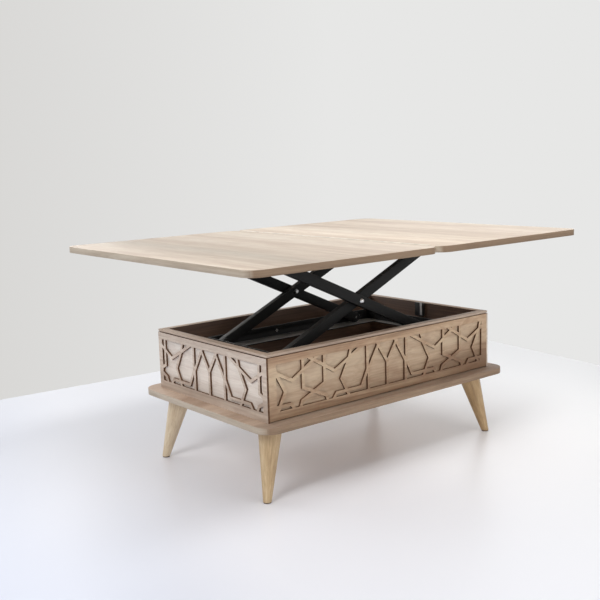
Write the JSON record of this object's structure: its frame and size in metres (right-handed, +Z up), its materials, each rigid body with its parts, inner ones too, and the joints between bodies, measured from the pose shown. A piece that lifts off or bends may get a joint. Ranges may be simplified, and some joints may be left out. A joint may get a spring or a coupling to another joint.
{
  "type": "lift top coffee table",
  "caption": "Coffee table with a storage box on splayed legs and a scissor lift; the top rises, turns a quarter turn and unfolds to double its size.",
  "frame": {"origin": "centre of the open table's footprint, on the floor", "axes": "+Z up; X along the box, with the fold line of the raised top across it at X = 0; -Y is the front; stored raised, turned and unfolded"},
  "size_m": [1.28, 0.966, 0.6673],
  "materials": {
    "oak_top": "light oak decor, matt",
    "oak_side": "light oak decor, matt",
    "dark_board": "dark decor, matt",
    "beech": "clear satin",
    "black_steel": "black powder coat",
    "zinc": "bright zinc plate",
    "nylon_black": "matt black nylon",
    "nylon_white": "natural nylon",
    "hinge_steel": "pale satin nickel",
    "felt": "pressed felt"
  },
  "bodies": {
    "base": {"plinth_board": "oak_side", "leg_front_left": "beech", "leg_front_right": "beech", "leg_back_left": "beech", "leg_back_right": "beech", "leg_pads": "felt", "leg_bolts": "zinc", "box_floor": "dark_board", "wall_front": "oak_side", "wall_back": "oak_side", "wall_left": "oak_side", "wall_right": "oak_side", "panel_front": "oak_side", "panel_back": "oak_side", "panel_left": "oak_side", "panel_right": "oak_side", "lower_rail_front": "black_steel", "lower_rail_back": "black_steel", "lower_cross_left": "black_steel", "lower_cross_right": "black_steel", "wall_brackets": "black_steel", "rail_bolts": "zinc", "bracket_screws": "zinc", "pivot_lugs": "black_steel", "roller_stops": "black_steel", "lower_pivot_pins": "zinc", "catch_body": "nylon_black", "catch_strip": "zinc"},
    "inner_arms": {"arm_inner_front": "black_steel", "arm_inner_back": "black_steel", "cross_tube_high": "black_steel", "mid_pivot_bolts": "zinc", "mid_pivot_nuts": "zinc", "mid_washers": "nylon_white", "roller_axles_high": "zinc"},
    "outer_arms": {"arm_outer_front": "black_steel", "arm_outer_back": "black_steel", "roller_axles_low": "zinc"},
    "carrier": {"upper_rail_front": "black_steel", "upper_rail_back": "black_steel", "upper_cross_left": "black_steel", "upper_cross_swivel": "black_steel", "upper_cross_right": "black_steel", "upper_pivot_pins": "zinc", "top_glides": "nylon_black", "swivel_base": "zinc", "swivel_washer": "nylon_white", "swivel_pin": "zinc"},
    "left_leaf": {"leaf_left": "oak_top", "swivel_disc": "zinc", "swivel_screws": "zinc", "strike_plate": "zinc", "hinge_left": "hinge_steel", "hinge_rod": "zinc"},
    "right_leaf": {"leaf_right": "oak_top", "hinge_right": "hinge_steel"},
    "front_low_roller": {"roller_low_front": "nylon_black"},
    "back_low_roller": {"roller_low_back": "nylon_black"},
    "front_high_roller": {"roller_high_front": "nylon_black"},
    "back_high_roller": {"roller_high_back": "nylon_black"}
  },
  "joints": [
    {"name": "lift", "type": "hinge", "parent": "base", "child": "inner_arms", "pos_m": [-0.295, 0, 0.356], "axis": [0, 1, 0], "range_deg": [0, 22.88]},
    {"name": "scissor", "type": "hinge", "parent": "inner_arms", "child": "outer_arms", "pos_m": [-0.01156, 0, 0.484], "axis": [0, 1, 0], "range_deg": [-45.75, 0]},
    {"name": "carrier_level", "type": "hinge", "parent": "outer_arms", "child": "carrier", "pos_m": [-0.295, 0, 0.612], "axis": [0, 1, 0], "range_deg": [0, 22.88]},
    {"name": "top_swivel", "type": "hinge", "parent": "carrier", "child": "left_leaf", "pos_m": [-0.16037, 0.16037, 0.644], "axis": [0, 0, 1], "range_deg": [0, 90]},
    {"name": "leaf_fold", "type": "hinge", "parent": "left_leaf", "child": "right_leaf", "pos_m": [0, 0, 0.6653], "axis": [0, -1, 0], "range_deg": [0, 180]},
    {"name": "front_low_roller_spin", "type": "hinge", "parent": "outer_arms", "child": "front_low_roller", "pos_m": [0.27188, -0.1675, 0.356], "axis": [0, 1, 0], "continuous": true},
    {"name": "back_low_roller_spin", "type": "hinge", "parent": "outer_arms", "child": "back_low_roller", "pos_m": [0.27188, 0.1675, 0.356], "axis": [0, 1, 0], "continuous": true},
    {"name": "front_high_roller_spin", "type": "hinge", "parent": "inner_arms", "child": "front_high_roller", "pos_m": [0.27188, -0.1465, 0.612], "axis": [0, 1, 0], "continuous": true},
    {"name": "back_high_roller_spin", "type": "hinge", "parent": "inner_arms", "child": "back_high_roller", "pos_m": [0.27188, 0.1465, 0.612], "axis": [0, 1, 0], "continuous": true}
  ],
  "couplings": [
    {"joint": "scissor", "follows": "lift", "ratio": -2},
    {"joint": "carrier_level", "follows": "lift", "ratio": 1}
  ]
}
